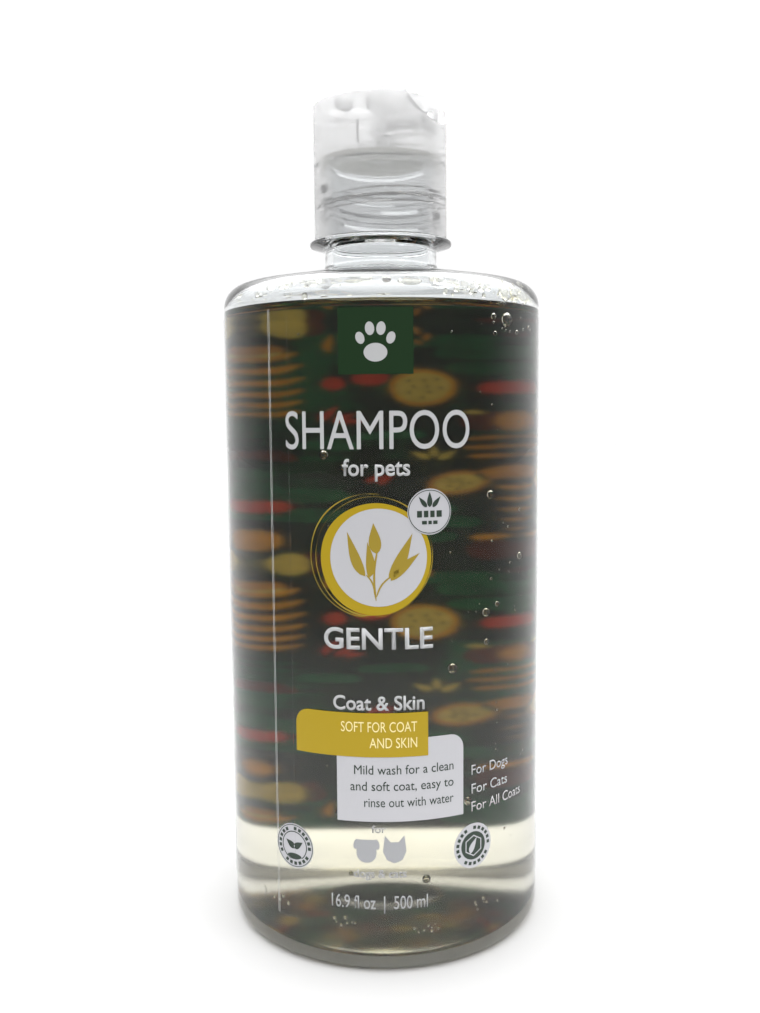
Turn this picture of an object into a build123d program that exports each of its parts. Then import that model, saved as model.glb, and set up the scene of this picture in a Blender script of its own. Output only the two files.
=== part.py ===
from build123d import *
from math import sqrt
import os

# Pet shampoo bottle: a clear round PET bottle, its fill, a wrap-round film label, a foam liner and a disc-top closure.
# Millimetres. +Z up, origin at the centre of the standing ring, the label's front faces -Y.

# Bottle body
body_radius = 35.5
body_wall = 0.6
shoulder_height = 142.65  # where the side and the shoulder slope would meet
shoulder_wall = 0.8
shoulder_radius = 5.0
heel_radius = 3.0
foot_inner_radius = 26.0
push_up_height = 4.5
gate_nub_radius = 9.0
gate_nub_drop = 1.2

# Neck
neck_radius = 12.6
neck_bore_radius = 10.9
neck_rise = 4.25  # shoulder slope, from the shoulder corner up to the neck
neck_root_radius = 2.0
support_ring_radius = 16.0
support_ring_rise = 4.6  # from the foot of the neck to the underside of the ring
support_ring_thickness = 1.8
support_ring_taper = 0.9
finish_length = 16.7  # support ring top to the lip
lip_round = 0.4

# Neck thread, a 28/410 finish
thread_pitch = 4.23
thread_turns = 1.5
thread_root_radius = 12.45
thread_depth = 1.25
thread_root_width = 2.2
thread_crest_width = 0.9
thread_start_rise = 5.9  # support ring top to the middle of the thread's lower end
parting_gap_width = 2.4  # the thread is interrupted at the mould's parting line
parting_gap_azimuth = 234.0

# Fill and label
fill_drop = 6.45  # below the shoulder corner
fill_gap = 0.05
label_bottom = 9.5
label_top_drop = 6.65  # below the shoulder corner
label_thickness = 0.1
label_gap = 0.03
label_overlap_width = 5.0
label_seam_azimuth = 234.0  # about +Z from +X, to the left of the front

# Closure
closure_radius = 14.9
skirt_clearance = 0.3  # radial, from the neck thread's crest
closure_thread_turns = 1.25
closure_thread_clearance = 0.35  # radial, from the neck thread's root
closure_thread_root_width = 1.9
closure_thread_crest_width = 0.8
thread_bearing_clearance = 0.3  # along the axis, between the loaded flanks
closure_ring_gap = 0.3  # closure's lower edge to the support ring
liner_thickness = 1.0
liner_gap = 0.05
liner_edge_clearance = 0.4
liner_hole_radius = 3.5
liner_bead_depth = 0.7
liner_bead_width = 0.8
deck_thickness = 1.2
chamber_height = 10.8  # deck top to the rim
rim_wall = 1.25
rim_round = 0.5
spout_azimuth = -30.0  # about +Z from +X, to the front right
notch_radius = 10.5
notch_depth = 5.6

# Disc, its pivot and its valve
disc_gap = 0.5
disc_thickness = 1.3
pivot_offset = 1.5  # behind the closure's axis, on the press side
pivot_drop = 2.4  # below the rim
trunnion_radius = 1.25
trunnion_clearance = 0.05
trunnion_bearing_depth = 0.75
trunnion_end_gap = 0.1
lug_length = 1.6
disc_skirt_wall = 1.0
disc_skirt_drop = 7.3  # below the rim
disc_skirt_inset = 0.65  # the skirt leans in, so that it clears the wall as it swings up
disc_skirt_front = 6.9
disc_skirt_back = 4.0
disc_skirt_back_drop = 3.8
spout_width = 5.4
spout_bore_radius = 1.6
spout_drop = 4.1  # channel axis below the rim
spout_back = 0.8
spout_floor = 1.0
valve_offset = 1.2
valve_post_wall = 0.9
valve_gap = 0.15
press_dish_radius = 30.0
press_dish_depth = 0.55
press_dish_offset = 7.0
pillar_width = 7.4
pillar_thickness = 1.2
pillar_drop = 6.0  # below the rim
pillar_saddle_depth = 1.0

# Levels that follow from the sizes above
fill_height = shoulder_height - fill_drop
label_top = shoulder_height - label_top_drop
neck_foot = shoulder_height + neck_rise
ring_bottom = neck_foot + support_ring_rise
ring_top = ring_bottom + support_ring_thickness
lip_height = ring_top + finish_length
thread_start = ring_top + thread_start_rise
thread_crest_radius = thread_root_radius + thread_depth
skirt_bore_radius = thread_crest_radius + skirt_clearance
closure_bottom = ring_top + closure_ring_gap
liner_bottom = lip_height + liner_gap
deck_bottom = liner_bottom + liner_thickness + liner_gap
deck_top = deck_bottom + deck_thickness
rim_height = deck_top + chamber_height
chamber_radius = closure_radius - rim_wall
disc_radius = chamber_radius - disc_gap
disc_underside = rim_height - disc_thickness
pivot_height = rim_height - pivot_drop
spout_height = rim_height - spout_drop
buried = 0.3  # how far a thread's root runs into its wall


def ridge_width(radius, root_radius, crest_radius, root_width, crest_width):
    along = (radius - root_radius) / (crest_radius - root_radius)
    return root_width + (crest_width - root_width) * along


def thread_ridge(root_radius, crest_radius, root_width, crest_width, turns, start):
    # A right-handed helical ridge with a trapezoid section, standing out of (or into) the wall at root_radius.
    side = 1 if crest_radius > root_radius else -1
    depth = abs(crest_radius - root_radius)
    buried_width = root_width + (root_width - crest_width) * buried / depth
    with BuildPart() as ridge:
        with BuildLine() as path:
            helix = Helix(thread_pitch, thread_pitch * turns, root_radius, center=(0, 0, start))
        with BuildSketch(Plane(origin=helix @ 0, x_dir=(side, 0, 0), z_dir=helix % 0)):
            with BuildLine():
                Polyline(
                    (-buried, -buried_width / 2),
                    (depth, -crest_width / 2),
                    (depth, crest_width / 2),
                    (-buried, buried_width / 2),
                    close=True,
                )
            make_face()
        sweep(path=path.line, is_frenet=True)
    return ridge.part


# Neck thread, cut through at the parting line
neck_thread = thread_ridge(
    thread_root_radius, thread_crest_radius, thread_root_width, thread_crest_width, thread_turns, thread_start
)
with BuildPart() as parting_gap:
    with BuildSketch(Plane.XY.offset(ring_top)):
        with Locations(Rotation(0, 0, parting_gap_azimuth)):
            Rectangle(4 * closure_radius, parting_gap_width)
    extrude(amount=finish_length)
    with BuildSketch(Plane.XY.offset(ring_top)):
        Circle(thread_root_radius)
    extrude(amount=finish_length, mode=Mode.SUBTRACT)

# Bottle: one revolved wall, with the thread on its neck
with BuildPart() as bottle:
    with BuildSketch(Plane.XZ):
        with BuildLine():
            outer_side = FilletPolyline(
                (foot_inner_radius, 0),
                (body_radius, 0),
                (body_radius, shoulder_height),
                (neck_radius, neck_foot),
                (neck_radius, ring_bottom),
                radius=[heel_radius, shoulder_radius, neck_root_radius],
            )
            Polyline(
                outer_side @ 1,
                (support_ring_radius, ring_bottom + support_ring_taper),
                (support_ring_radius, ring_top),
                (thread_root_radius, ring_top),
                (thread_root_radius, lip_height),
                (neck_bore_radius, lip_height),
            )
            inner_side = FilletPolyline(
                (neck_bore_radius, lip_height),
                (neck_bore_radius, neck_foot - shoulder_wall),
                (body_radius - body_wall, shoulder_height - shoulder_wall),
                (body_radius - body_wall, body_wall),
                (foot_inner_radius, body_wall),
                radius=[
                    neck_root_radius + shoulder_wall,
                    shoulder_radius - body_wall,
                    heel_radius - body_wall,
                ],
            )
            ThreePointArc(
                inner_side @ 1,
                ((foot_inner_radius + gate_nub_radius) / 2, body_wall + 0.7 * push_up_height),
                (gate_nub_radius, body_wall + push_up_height),
            )
            inner_nub = TangentArc(
                (0, body_wall + push_up_height - gate_nub_drop),
                (gate_nub_radius, body_wall + push_up_height),
                tangent=(1, 0),
            )
            outer_nub = TangentArc(
                (0, push_up_height - gate_nub_drop),
                (gate_nub_radius, push_up_height),
                tangent=(1, 0),
            )
            Line(inner_nub @ 0, outer_nub @ 0)
            ThreePointArc(
                outer_nub @ 1,
                ((foot_inner_radius + gate_nub_radius) / 2, 0.7 * push_up_height),
                (foot_inner_radius, 0),
            )
        make_face()
    revolve(axis=Axis.Z)
    add(neck_thread)
    add(parting_gap.part, mode=Mode.SUBTRACT)
    lip_edges = bottle.edges().filter_by(GeomType.CIRCLE).group_by(Axis.Z)[-1]
    fillet(lip_edges, radius=lip_round)
bottle.part.label = "bottle"

# Shampoo, filling the bottle up to the fill line
fill_radius = body_radius - body_wall - fill_gap
fill_floor = body_wall + fill_gap
with BuildPart() as shampoo:
    with BuildSketch(Plane.XZ):
        with BuildLine():
            fill_side = FilletPolyline(
                (fill_radius, fill_height),
                (fill_radius, fill_floor),
                (foot_inner_radius, fill_floor),
                radius=heel_radius - body_wall - fill_gap,
            )
            fill_nub = TangentArc(
                (0, fill_floor + push_up_height - gate_nub_drop),
                (gate_nub_radius, fill_floor + push_up_height),
                tangent=(1, 0),
            )
            ThreePointArc(
                fill_side @ 1,
                ((foot_inner_radius + gate_nub_radius) / 2, fill_floor + 0.7 * push_up_height),
                fill_nub @ 1,
            )
            Polyline(fill_nub @ 0, (0, fill_height), fill_side @ 0)
        make_face()
    revolve(axis=Axis.Z)
shampoo.part.label = "shampoo"

# Film label, wrapped once round the body, with its end lapped over its start
label_inner = body_radius + label_gap
label_outer = label_inner + label_thickness
label_length = label_top - label_bottom
with BuildPart() as wrap_label:
    with BuildSketch(Plane.XY.offset(label_bottom)):
        Circle(label_outer)
        Circle(label_inner, mode=Mode.SUBTRACT)
    extrude(amount=label_length)
    with BuildSketch(Plane.XY.offset(label_bottom)):
        Circle(label_outer + label_thickness)
        Circle(label_inner + label_thickness / 2, mode=Mode.SUBTRACT)
        with Locations(Rotation(0, 0, label_seam_azimuth)):
            with Locations((body_radius, 0)):
                Rectangle(body_radius, label_overlap_width, mode=Mode.INTERSECT)
    extrude(amount=label_length)
wrap_label.part.label = "wrap_label"

# Foam liner, which seals on the lip
with BuildPart() as cap_liner:
    with BuildSketch(Plane.XY.offset(liner_bottom)):
        Circle(skirt_bore_radius - liner_edge_clearance)
        Circle(liner_hole_radius, mode=Mode.SUBTRACT)
    extrude(amount=liner_thickness)
cap_liner.part.label = "cap_liner"

# The closure and its disc are drawn with x towards the spout and y along the pivot.
closure_plane = Plane(origin=(0, 0, 0), x_dir=Vector(1, 0, 0).rotate(Axis.Z, spout_azimuth), z_dir=(0, 0, 1))
side_plane = Plane(origin=(0, 0, 0), x_dir=closure_plane.x_dir, z_dir=-closure_plane.y_dir)
front_plane = Plane(origin=(0, 0, 0), x_dir=closure_plane.y_dir, z_dir=closure_plane.x_dir)

# Closure thread, held under the neck thread by a small bearing clearance
closure_crest_radius = thread_root_radius + closure_thread_clearance
neck_width_there = ridge_width(
    closure_crest_radius, thread_root_radius, thread_crest_radius, thread_root_width, thread_crest_width
)
thread_offset = (neck_width_there + closure_thread_crest_width) / 2 + thread_bearing_clearance
closure_thread = thread_ridge(
    skirt_bore_radius,
    closure_crest_radius,
    closure_thread_root_width,
    closure_thread_crest_width,
    closure_thread_turns,
    thread_start - thread_offset,
)

# Closure shell
saddle_radius = (pillar_width**2 / 4 + pillar_saddle_depth**2) / (2 * pillar_saddle_depth)
pillar_top = rim_height - pillar_drop
bearing_reach = sqrt(chamber_radius**2 - pivot_offset**2) + trunnion_bearing_depth
bead_top = liner_bottom - liner_gap
with BuildPart() as closure_shell:
    with BuildSketch(Plane.XZ):
        with BuildLine():
            Polyline(
                (skirt_bore_radius, closure_bottom),
                (closure_radius, closure_bottom),
                (closure_radius, rim_height),
                (chamber_radius, rim_height),
                (chamber_radius, deck_top),
                (0, deck_top),
                (0, deck_bottom),
                (skirt_bore_radius, deck_bottom),
                (skirt_bore_radius, bead_top),
                (skirt_bore_radius - liner_bead_depth, bead_top - liner_bead_width / 2),
                (skirt_bore_radius, bead_top - liner_bead_width),
                close=True,
            )
        make_face()
    revolve(axis=Axis.Z)
    rim_edges = closure_shell.edges().filter_by(GeomType.CIRCLE).group_by(Axis.Z)[-1]
    fillet(rim_edges.sort_by(SortBy.RADIUS)[-1:], radius=rim_round)
    add(closure_thread)
    # Pillars against the wall, under the pivot, with a saddle in the top of each
    with BuildSketch(closure_plane.offset(deck_top)):
        Circle(chamber_radius + rim_wall / 2)
        with Locations((-pivot_offset, 0)):
            Rectangle(pillar_width, 3 * closure_radius, mode=Mode.INTERSECT)
        Rectangle(3 * closure_radius, 2 * (chamber_radius - pillar_thickness), mode=Mode.SUBTRACT)
    extrude(amount=pillar_top - deck_top)
    with BuildSketch(side_plane):
        with Locations((-pivot_offset, pillar_top + saddle_radius - pillar_saddle_depth)):
            Circle(saddle_radius)
        with Locations((-pivot_offset, (pillar_top + rim_height) / 2)):
            Rectangle(pillar_width, rim_height - pillar_top + 2 * pillar_saddle_depth, mode=Mode.INTERSECT)
    extrude(amount=chamber_radius - buried, both=True, mode=Mode.SUBTRACT)
    # Blind bearings for the trunnions
    with BuildSketch(side_plane):
        with Locations((-pivot_offset, pivot_height)):
            Circle(trunnion_radius + trunnion_clearance)
    extrude(amount=bearing_reach, both=True, mode=Mode.SUBTRACT)
    # Spout notch in the rim
    with BuildSketch(front_plane):
        with Locations((0, rim_height + notch_radius - notch_depth)):
            Circle(notch_radius)
    extrude(amount=2 * closure_radius, mode=Mode.SUBTRACT)
    # Valve post on the deck, with the orifice through both
    with BuildSketch(closure_plane.offset(deck_top)):
        with Locations((valve_offset, 0)):
            Circle(spout_bore_radius + valve_post_wall)
    extrude(amount=spout_height - spout_bore_radius - spout_floor - valve_gap - deck_top)
    with BuildSketch(closure_plane.offset(deck_bottom)):
        with Locations((valve_offset, 0)):
            Circle(spout_bore_radius)
    extrude(amount=chamber_height, mode=Mode.SUBTRACT)
closure_shell.part.label = "closure_shell"

# Disc: a round plate on two trunnions, with a leaning skirt and the spout channel under its front half
trunnion_end = bearing_reach - trunnion_end_gap
lug_outer = disc_radius - disc_skirt_inset
lug_height = disc_underside + buried - pivot_height
disc_skirt_bottom = rim_height - disc_skirt_drop
disc_skirt_radius = disc_radius - disc_skirt_inset
spout_front = disc_skirt_radius - disc_skirt_wall / 2
spout_bottom = spout_height - spout_bore_radius - spout_floor

with BuildPart() as disc_plate:
    with BuildSketch(closure_plane.offset(disc_underside)):
        Circle(disc_radius)
    extrude(amount=disc_thickness)
    plate_edges = disc_plate.edges().filter_by(GeomType.CIRCLE).group_by(Axis.Z)[-1]
    fillet(plate_edges, radius=rim_round / 2)
    dish_plane = closure_plane.offset(rim_height + press_dish_radius - press_dish_depth)
    with Locations(dish_plane.location * Location((-press_dish_offset, 0, 0))):
        Sphere(press_dish_radius, mode=Mode.SUBTRACT)

with BuildPart() as disc_skirt:
    with BuildSketch(side_plane):
        with BuildLine():
            Polyline(
                (disc_radius, disc_underside),
                (disc_skirt_radius, disc_skirt_bottom),
                (disc_skirt_radius - disc_skirt_wall, disc_skirt_bottom),
                (disc_radius - disc_skirt_wall, disc_underside),
                close=True,
            )
        make_face()
    revolve(axis=Axis.Z)
    with BuildSketch(side_plane):
        with BuildLine():
            Polyline(
                (disc_skirt_back, disc_underside),
                (disc_skirt_back, rim_height - disc_skirt_back_drop),
                (disc_skirt_front, disc_skirt_bottom),
                (2 * disc_radius, disc_skirt_bottom),
                (2 * disc_radius, disc_underside),
                close=True,
            )
        make_face()
    extrude(amount=2 * disc_radius, both=True, mode=Mode.INTERSECT)

with BuildPart() as press_disc:
    add(disc_plate.part)
    add(disc_skirt.part)
    # Spout block, from behind the valve to the skirt
    with BuildSketch(closure_plane.offset(spout_bottom)):
        with Locations(((spout_front - spout_back) / 2, 0)):
            Rectangle(spout_front + spout_back, spout_width)
    extrude(amount=disc_underside + buried - spout_bottom)
    for side in (1, -1):
        # A trunnion, hung from the plate on a lug with a round lower end
        with BuildSketch(side_plane.offset(side * (lug_outer - lug_length))):
            with Locations((-pivot_offset, pivot_height)):
                Circle(trunnion_radius)
        extrude(amount=side * (trunnion_end - lug_outer + lug_length))
        with BuildSketch(side_plane.offset(side * (lug_outer - lug_length))):
            with Locations((-pivot_offset, pivot_height + lug_height / 2)):
                Rectangle(2 * trunnion_radius, lug_height)
        extrude(amount=side * lug_length)
    # Channel: up from the valve, then out through the skirt
    with BuildSketch(closure_plane.offset(spout_bottom)):
        with Locations((valve_offset, 0)):
            Circle(spout_bore_radius)
    extrude(amount=spout_height - spout_bottom, mode=Mode.SUBTRACT)
    with BuildSketch(front_plane.offset(valve_offset)):
        with Locations((0, spout_height)):
            Circle(spout_bore_radius)
    extrude(amount=disc_radius, mode=Mode.SUBTRACT)
press_disc.part.label = "press_disc"

os.makedirs("parts", exist_ok=True)
export_step(bottle.part, "parts/bottle.step")
export_step(shampoo.part, "parts/shampoo.step")
export_step(wrap_label.part, "parts/wrap_label.step")
export_step(cap_liner.part, "parts/cap_liner.step")
export_step(closure_shell.part, "parts/closure_shell.step")
export_step(press_disc.part, "parts/press_disc.step")

fill_volume = shampoo.part.volume / 1000
print(f"fill {fill_volume:.0f} ml, height {rim_height:.2f} mm, closure bottom {closure_bottom:.2f} mm")
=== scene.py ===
# Pet shampoo bottle: the looks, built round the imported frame. Metres, +Z up, the label's front faces -Y.
import bpy
import math
import random
from mathutils import Matrix, Vector


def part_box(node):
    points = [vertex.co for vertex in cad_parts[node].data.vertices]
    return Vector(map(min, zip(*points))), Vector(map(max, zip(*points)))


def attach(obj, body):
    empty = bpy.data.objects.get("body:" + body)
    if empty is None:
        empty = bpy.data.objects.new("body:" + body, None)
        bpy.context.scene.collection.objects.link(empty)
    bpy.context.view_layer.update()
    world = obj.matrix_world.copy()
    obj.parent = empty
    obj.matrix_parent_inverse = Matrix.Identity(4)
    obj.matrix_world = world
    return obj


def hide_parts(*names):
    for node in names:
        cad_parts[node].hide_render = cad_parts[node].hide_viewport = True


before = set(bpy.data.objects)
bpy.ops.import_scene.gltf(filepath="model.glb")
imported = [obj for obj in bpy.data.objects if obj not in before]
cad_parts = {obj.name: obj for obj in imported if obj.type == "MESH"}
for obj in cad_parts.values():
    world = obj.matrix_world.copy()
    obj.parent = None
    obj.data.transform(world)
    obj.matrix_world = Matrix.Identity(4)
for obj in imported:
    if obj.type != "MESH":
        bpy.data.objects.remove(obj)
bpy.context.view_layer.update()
print("frame loaded:", sorted(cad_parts))

mm = 0.001
bottleLow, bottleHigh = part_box("bottle")
fillLow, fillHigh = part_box("shampoo")
filmLow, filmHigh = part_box("wrap_label")
bodyRadius = (bottleHigh.x - bottleLow.x) / 2
lipHeight = bottleHigh.z
fillTop = fillHigh.z


# working by hand: selecting, shaping, finishing
def deselectAll():
    active = bpy.context.view_layer.objects.active
    if active and active.mode != "OBJECT":
        bpy.ops.object.mode_set(mode="OBJECT")
    bpy.ops.object.select_all(action="DESELECT")


def pick(obj):
    deselectAll()
    obj.select_set(True)
    bpy.context.view_layer.objects.active = obj


def editAll(obj):
    pick(obj)
    bpy.ops.object.mode_set(mode="EDIT")
    bpy.ops.mesh.select_all(action="SELECT")


def applyModifier(obj, kind, **settings):
    pick(obj)
    modifier = obj.modifiers.new(kind.title(), kind)
    for key, value in settings.items():
        setattr(modifier, key, value)
    bpy.ops.object.modifier_apply(modifier=modifier.name)


def joinAll(objects, name):
    deselectAll()
    for obj in objects:
        obj.select_set(True)
    bpy.context.view_layer.objects.active = objects[0]
    if len(objects) > 1:
        bpy.ops.object.join()
    objects[0].name = name
    return objects[0]


def smooth(obj, degrees=35):
    pick(obj)
    bpy.ops.object.shade_smooth_by_angle(angle=math.radians(degrees))


def finishPiece(obj, body, slotName, *materials):
    pick(obj)
    bpy.ops.object.transform_apply(location=True, rotation=True, scale=True)
    for material in materials:
        obj.data.materials.append(material)
    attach(obj, body)
    return obj


# outlines, in millimetres, as (radius, height)
def roundCorners(corners, stepDegrees=9):
    # each corner is (x, z, radius); a radius of 0 stays sharp
    outline = []
    for i, (x, z, radius) in enumerate(corners):
        if radius == 0 or i in (0, len(corners) - 1):
            outline.append((x, z))
            continue
        here = Vector((x, z))
        before = (Vector(corners[i - 1][:2]) - here).normalized()
        after = (Vector(corners[i + 1][:2]) - here).normalized()
        half = before.angle(after) / 2
        centre = here + (before + after).normalized() * radius / math.sin(half)
        start = here + before * radius / math.tan(half) - centre
        turn = start.angle_signed(here + after * radius / math.tan(half) - centre)
        count = max(2, round(abs(math.degrees(turn)) / stepDegrees))
        for k in range(count + 1):
            arm = start.copy()
            arm.rotate(Matrix.Rotation(-turn * k / count, 2))
            outline.append(tuple(centre + arm))
    return outline


def arcThrough(start, middle, end, count):
    ax, az = start
    bx, bz = middle
    cx, cz = end
    d = 2 * (ax * (bz - cz) + bx * (cz - az) + cx * (az - bz))
    a2, b2, c2 = ax * ax + az * az, bx * bx + bz * bz, cx * cx + cz * cz
    ux = (a2 * (bz - cz) + b2 * (cz - az) + c2 * (az - bz)) / d
    uz = (a2 * (cx - bx) + b2 * (ax - cx) + c2 * (bx - ax)) / d
    radius = math.hypot(ax - ux, az - uz)
    first = math.atan2(az - uz, ax - ux)
    last = math.atan2(cz - uz, cx - ux)
    sweep = (last - first + math.pi) % (2 * math.pi) - math.pi
    angles = [first + sweep * k / count for k in range(count + 1)]
    return [(ux + radius * math.cos(a), uz + radius * math.sin(a)) for a in angles]


def spinOutline(name, outline, steps):
    deselectAll()
    bpy.ops.mesh.primitive_plane_add(size=mm)
    obj = bpy.context.object
    obj.name = name
    bpy.ops.object.mode_set(mode="EDIT")
    bpy.ops.mesh.select_all(action="SELECT")
    bpy.ops.mesh.merge(type="CENTER")
    bpy.ops.transform.translate(value=(outline[0][0] * mm, 0, outline[0][1] * mm))
    for (x0, z0), (x1, z1) in zip(outline, outline[1:]):
        bpy.ops.mesh.extrude_region_move(
            TRANSFORM_OT_translate={"value": ((x1 - x0) * mm, 0, (z1 - z0) * mm)}
        )
    bpy.ops.mesh.select_all(action="SELECT")
    bpy.ops.mesh.spin(steps=steps, angle=2 * math.pi, center=(0, 0, 0), axis=(0, 0, 1))
    bpy.ops.mesh.select_all(action="SELECT")
    bpy.ops.mesh.remove_doubles(threshold=0.002 * mm)
    bpy.ops.mesh.normals_make_consistent(inside=False)
    bpy.ops.object.mode_set(mode="OBJECT")
    return obj


# materials
def linear(hexColour):
    parts = [int(hexColour[i : i + 2], 16) / 255 for i in (1, 3, 5)]
    return [c / 12.92 if c <= 0.04045 else ((c + 0.055) / 1.055) ** 2.4 for c in parts] + [1.0]


def addNode(tree, kind, settings=None, links=()):
    # settings go to the node's own properties or, by socket name or number, to its inputs
    node = tree.nodes.new(kind)
    for key, value in (settings or {}).items():
        if isinstance(key, str) and hasattr(node, key):
            setattr(node, key, value)
        else:
            node.inputs[key].default_value = value
    for source, target in links:
        tree.links.new(source, node.inputs[target])
    return node


def newMaterial(name, **surface):
    material = bpy.data.materials.new(name)
    material.use_nodes = True
    tree = material.node_tree
    tree.nodes.clear()
    shader = addNode(tree, "ShaderNodeBsdfPrincipled", {k.replace("_", " "): v for k, v in surface.items()})
    output = addNode(tree, "ShaderNodeOutputMaterial", links=[(shader.outputs[0], "Surface")])
    return material, tree, shader, output


def makeClearPet(name, ior, tint, bumpDistance, roughness=0.0):
    # stretch-blown PET: clear and glossy, with the faint waves of an uneven wall
    material, tree, shader, output = newMaterial(
        name, Base_Color=linear(tint), Roughness=roughness, IOR=ior, Transmission_Weight=1.0
    )
    place = addNode(tree, "ShaderNodeTexCoord")
    waves = addNode(
        tree, "ShaderNodeTexNoise", {"Scale": 70, "Detail": 1.0}, [(place.outputs["Object"], "Vector")]
    )
    bump = addNode(
        tree, "ShaderNodeBump", {"Strength": 1.0, "Distance": bumpDistance * mm}, [
            (waves.outputs["Fac"], "Height")
        ]
    )
    tree.links.new(bump.outputs[0], shader.inputs["Normal"])
    return material


iorPet = 1.575
iorShampoo = 1.36
clearPet = makeClearPet("clearPetBlown", iorPet, "#fdfefe", 0.02)
neckPet = makeClearPet("clearPetShoulder", iorPet, "#f3f5f6", 0.02)
wettedPet = makeClearPet("clearPetWetted", iorPet / iorShampoo, "#fdfdfb", 0.05, 0.2)
print("materials: bottle")


# bottle
bottleShape = {
    "wall": 0.6, "shoulderCorner": 142.65, "shoulderWall": 0.8, "shoulderRound": 5.0, "heelRound": 3.0,
    "footRadius": 26.0, "pushUp": 4.5, "nubRadius": 9.0, "nubDrop": 1.2,
    "neckRadius": 12.6, "neckBore": 10.9, "neckFoot": 146.9, "ringRadius": 16.0, "ringBottom": 151.5,
    "ringTop": 153.3, "threadRoot": 12.45, "threadCrest": 13.7, "threadPitch": 4.23, "threadTurns": 1.5,
    "threadStart": 159.2, "threadRootWidth": 2.2, "threadCrestWidth": 0.9, "around": 256,
}
meniscus = {"rise": 1.3, "reach": 1.4}


def baseCurve(shape, lift, inward):
    # from the axis out to the foot: gate nub, then the push-up's dome
    nubTop = shape["pushUp"] + lift
    sagRadius = (shape["nubRadius"] ** 2 + shape["nubDrop"] ** 2) / (2 * shape["nubDrop"])
    nub = []
    for k in range(9):
        r = shape["nubRadius"] * k / 8
        nub.append((r, nubTop - shape["nubDrop"] + sagRadius - math.sqrt(sagRadius**2 - r * r)))
    middle = ((shape["footRadius"] + shape["nubRadius"]) / 2, lift + 0.7 * shape["pushUp"])
    dome = arcThrough(nub[-1], middle, (shape["footRadius"], lift), 14)
    curve = nub + dome[1:]
    return curve[::-1] if inward else curve


def bottleOutline(shape):
    radius = bodyRadius / mm
    wall = shape["wall"]
    inner = radius - wall
    level = fillTop / mm + meniscus["rise"]
    outer = roundCorners([
        (shape["footRadius"], 0, 0),
        (radius, 0, shape["heelRound"]),
        (radius, shape["shoulderCorner"], shape["shoulderRound"]),
        (shape["neckRadius"], shape["neckFoot"], 2.0),
        (shape["neckRadius"], shape["ringBottom"], 0.3),
        (shape["ringRadius"], shape["ringBottom"] + 0.9, 0.4),
        (shape["ringRadius"], shape["ringTop"], 0.4),
        (shape["threadRoot"], shape["ringTop"], 0.3),
        (shape["threadRoot"], lipHeight / mm, 0.4),
        (shape["neckBore"], lipHeight / mm, 0.4),
        (shape["neckBore"], shape["neckFoot"] - shape["shoulderWall"], 2.8),
        (inner, shape["shoulderCorner"] - shape["shoulderWall"], shape["shoulderRound"] - wall),
        (inner, level, 0),
        (inner, wall, shape["heelRound"] - wall),
        (shape["footRadius"], wall, 0),
    ])
    return baseCurve(shape, 0, False) + outer[1:] + baseCurve(shape, wall, True)[1:]


def makeThread(shape):
    # the thread's section, swept up round the neck
    deselectAll()
    bpy.ops.mesh.primitive_plane_add(size=mm, rotation=(math.pi / 2, 0, 0))
    thread = bpy.context.object
    thread.name = "neckThread"
    bpy.ops.object.transform_apply(location=True, rotation=True, scale=True)
    buried = 0.3
    for v in thread.data.vertices:
        atCrest = v.co.x > 0
        radius = shape["threadCrest"] if atCrest else shape["threadRoot"] - buried
        width = shape["threadCrestWidth"] if atCrest else shape["threadRootWidth"] + 0.3
        v.co = Vector((radius, 0, shape["threadStart"] + math.copysign(width / 2, v.co.z))) * mm
    editAll(thread)
    bpy.ops.mesh.delete(type="ONLY_FACE")
    bpy.ops.object.mode_set(mode="OBJECT")
    applyModifier(
        thread, "SCREW", angle=2 * math.pi * shape["threadTurns"], axis="Z",
        screw_offset=shape["threadPitch"] * shape["threadTurns"] * mm, steps=160, render_steps=160,
    )
    editAll(thread)
    bpy.ops.mesh.fill_holes(sides=4)
    bpy.ops.mesh.select_all(action="SELECT")
    bpy.ops.mesh.normals_make_consistent(inside=False)
    bpy.ops.object.mode_set(mode="OBJECT")
    return thread


def makeBottle(shape):
    shell = spinOutline("bottleShell", bottleOutline(shape), shape["around"])
    thread = makeThread(shape)
    applyModifier(shell, "BOOLEAN", operation="UNION", solver="EXACT", object=thread)
    bpy.data.objects.remove(thread)
    finishPiece(shell, "bottle", "clear_pet", clearPet, wettedPet, neckPet)
    level = fillTop + (meniscus["rise"] - 0.05) * mm
    for face in shell.data.polygons:
        outward = Vector((face.center.x, face.center.y, 0)).normalized()
        facesCavity = face.normal.dot(outward) < -0.5 or (face.normal.z > 0.02 and face.center.z < 12 * mm)
        face.material_index = 2 if face.center.z > level else 1 if facesCavity else 0
    smooth(shell, 40)
    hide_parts("bottle")
    return shell


bottle = makeBottle(bottleShape)
print("bottle:", len(bottle.data.polygons), "faces")


# shampoo
def makeShampooMaterials():
    # a pale, faintly amber gel: its side is in contact with the wall, its top meets the air
    side, tree, _, output = newMaterial(
        "shampooGel", Base_Color=linear("#ffffff"), Roughness=0.0, IOR=1.0, Transmission_Weight=1.0
    )
    top, topTree, _, topOutput = newMaterial(
        "shampooSurface", Base_Color=linear("#fffef6"), Roughness=0.0, IOR=iorShampoo, Transmission_Weight=1.0
    )
    for nodes, out in ((tree, output), (topTree, topOutput)):
        tint = addNode(nodes, "ShaderNodeVolumeAbsorption", {"Color": linear("#eee2a2"), "Density": 6.5})
        nodes.links.new(tint.outputs[0], out.inputs["Volume"])
    return side, top


shampooSide, shampooTop = makeShampooMaterials()


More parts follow.
